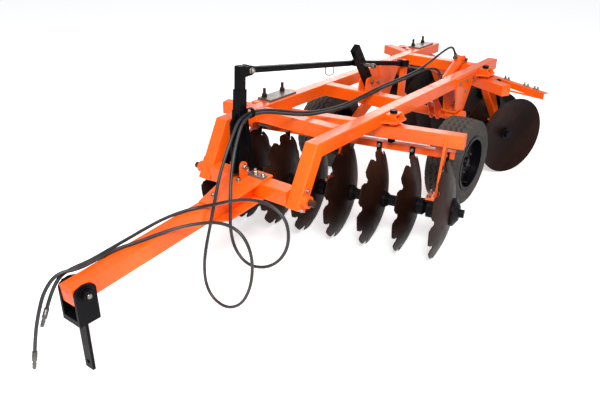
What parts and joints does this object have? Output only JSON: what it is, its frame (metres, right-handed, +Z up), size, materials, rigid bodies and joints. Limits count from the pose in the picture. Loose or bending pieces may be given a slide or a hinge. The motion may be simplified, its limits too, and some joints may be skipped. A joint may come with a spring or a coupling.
{
  "type": "disc harrow",
  "caption": "Trailed offset disc harrow with orange box frame, notched front and plain rear disc gangs, hydraulic wheel lift and levelling linkage",
  "frame": {"origin": "the middle of the machine's footprint on the floor, without the hoses", "axes": "+X to the machine's left hand side, +Y to the rear, +Z up; the machine is towed towards -Y"},
  "size_m": [1.9316, 5.0851, 1.3041],
  "materials": {
    "frame_paint": "glossy orange paint",
    "black_paint": "satin black paint",
    "disc_steel": "dark brown black paint on hardened steel",
    "tyre_rubber": "grey brown rubber with ribbed tread",
    "rim_paint": "black paint",
    "bare_plate": "dark bare steel plate",
    "bolt_steel": "zinc plated steel",
    "hose_rubber": "black rubber hose",
    "coupler_steel": "plated steel coupler",
    "rod_chrome": "chromed rod"
  },
  "bodies": {
    "frame": {"left_rail": "frame_paint", "right_rail": "frame_paint", "front_cross_member": "frame_paint", "mid_cross_member": "frame_paint", "rear_cross_member": "frame_paint", "front_gang_beam": "frame_paint", "rear_gang_beam": "frame_paint", "gang_pivot_brackets": "frame_paint", "gang_pivot_bolts": "black_paint", "rail_cleats": "frame_paint", "clamp_plates": "bare_plate", "clamp_studs": "bolt_steel", "front_hangers": "frame_paint", "rear_hangers": "frame_paint", "front_bearings": "black_paint", "rear_bearings": "black_paint", "front_scraper_bar": "frame_paint", "rear_scraper_bar": "frame_paint", "front_scraper_blades": "black_paint", "rear_scraper_blades": "black_paint", "shaft_brackets": "frame_paint", "shaft_blocks": "frame_paint", "drawbar_pins": "bare_plate", "rear_hose_1": "hose_rubber", "rear_hose_2": "hose_rubber"},
    "lift": {"rock_shaft": "frame_paint", "levelling_lever": "frame_paint"},
    "left_wheel": {"left_tyre": "tyre_rubber", "left_rim": "rim_paint"},
    "right_wheel": {"right_tyre": "tyre_rubber", "right_rim": "rim_paint"},
    "front_gang": {"front_discs": "disc_steel", "front_gang_shaft": "black_paint"},
    "rear_gang": {"rear_discs": "disc_steel", "rear_gang_shaft": "black_paint"},
    "barrel": {"cylinder_barrel": "frame_paint"},
    "rod": {"cylinder_rod": "rod_chrome"},
    "rocker_arm": {"rocker": "black_paint"},
    "drawbar": {"drawbar_head": "frame_paint", "drawbar_tongue": "frame_paint", "saddle_plate": "bare_plate", "tower": "black_paint", "tower_brace": "black_paint", "hose_ring": "black_paint", "front_hose_1": "hose_rubber", "front_hose_2": "hose_rubber", "hose_couplers": "coupler_steel"},
    "front_level_link": {"front_link": "black_paint"},
    "rear_level_link": {"rear_link": "black_paint"},
    "clevis": {"hitch_clevis": "black_paint"},
    "tongue_bar": {"hitch_bar": "black_paint"}
  },
  "joints": [
    {"name": "rock_shaft_lift", "type": "hinge", "parent": "frame", "child": "lift", "pos_m": [-0.064, 1.002, 0.545], "axis": [1, 0, 0], "range_deg": [-12, 6]},
    {"name": "left_wheel_spin", "type": "hinge", "parent": "lift", "child": "left_wheel", "pos_m": [0.537, 0.597, 0.336], "axis": [1, 0, 0], "continuous": true},
    {"name": "right_wheel_spin", "type": "hinge", "parent": "lift", "child": "right_wheel", "pos_m": [-0.665, 0.597, 0.336], "axis": [1, 0, 0], "continuous": true},
    {"name": "front_gang_spin", "type": "hinge", "parent": "frame", "child": "front_gang", "pos_m": [0.09424, -0.44144, 0.33], "axis": [0.9732, 0.23, 0], "continuous": true},
    {"name": "rear_gang_spin", "type": "hinge", "parent": "frame", "child": "rear_gang", "pos_m": [-0.1229, 1.82491, 0.33], "axis": [0.8942, -0.4478, 0], "continuous": true},
    {"name": "rocker_turn", "type": "hinge", "parent": "frame", "child": "rocker_arm", "pos_m": [-0.062, 0.177, 0.952], "axis": [1, 0, 0], "range_deg": [-31.08, 16.04]},
    {"name": "drawbar_turn", "type": "hinge", "parent": "frame", "child": "drawbar", "pos_m": [-0.064, -1.136, 0.58], "axis": [1, 0, 0], "range_deg": [-7.04, 4.02], "deforming": ["rear_hose_1", "rear_hose_2"]},
    {"name": "rear_link_turn", "type": "hinge", "parent": "rocker_arm", "child": "rear_level_link", "pos_m": [-0.119, 0.07048, 1.09336], "axis": [1, 0, 0], "range_deg": [-15.3, 29.61]},
    {"name": "front_link_turn", "type": "hinge", "parent": "rocker_arm", "child": "front_level_link", "pos_m": [-0.119, 0.07048, 1.09336], "axis": [1, 0, 0], "range_deg": [-17.31, 33.63]},
    {"name": "cylinder_swing", "type": "hinge", "parent": "frame", "child": "barrel", "pos_m": [0.136, 1.392, 0.928], "axis": [1, 0, 0], "range_deg": [-1.44, 1.22]},
    {"name": "cylinder_stroke", "type": "slide", "parent": "barrel", "child": "rod", "axis": [0, -0.8922, -0.4516], "range_m": [-0.03582, 0.01841]},
    {"name": "clevis_swing", "type": "hinge", "parent": "drawbar", "child": "clevis", "pos_m": [-0.064, -2.39267, 0.47558], "axis": [1, 0, 0], "range_deg": [-90, 30]},
    {"name": "tongue_bar_swivel", "type": "hinge", "parent": "clevis", "child": "tongue_bar", "pos_m": [-0.064, -2.39267, 0.31358], "axis": [0, 0, 1], "range_deg": [-90, 90]}
  ],
  "couplings": [
    {"joint": "rocker_turn", "follows": "rock_shaft_lift", "ratio": 2.5069},
    {"joint": "drawbar_turn", "follows": "rock_shaft_lift", "ratio": 0.50321},
    {"joint": "rear_link_turn", "follows": "rock_shaft_lift", "ratio": -2.3838},
    {"joint": "front_link_turn", "follows": "rock_shaft_lift", "ratio": -2.7191},
    {"joint": "cylinder_swing", "follows": "rock_shaft_lift", "ratio": 0.03665},
    {"joint": "cylinder_stroke", "follows": "rock_shaft_lift", "m_per_rad": 0.16627}
  ]
}
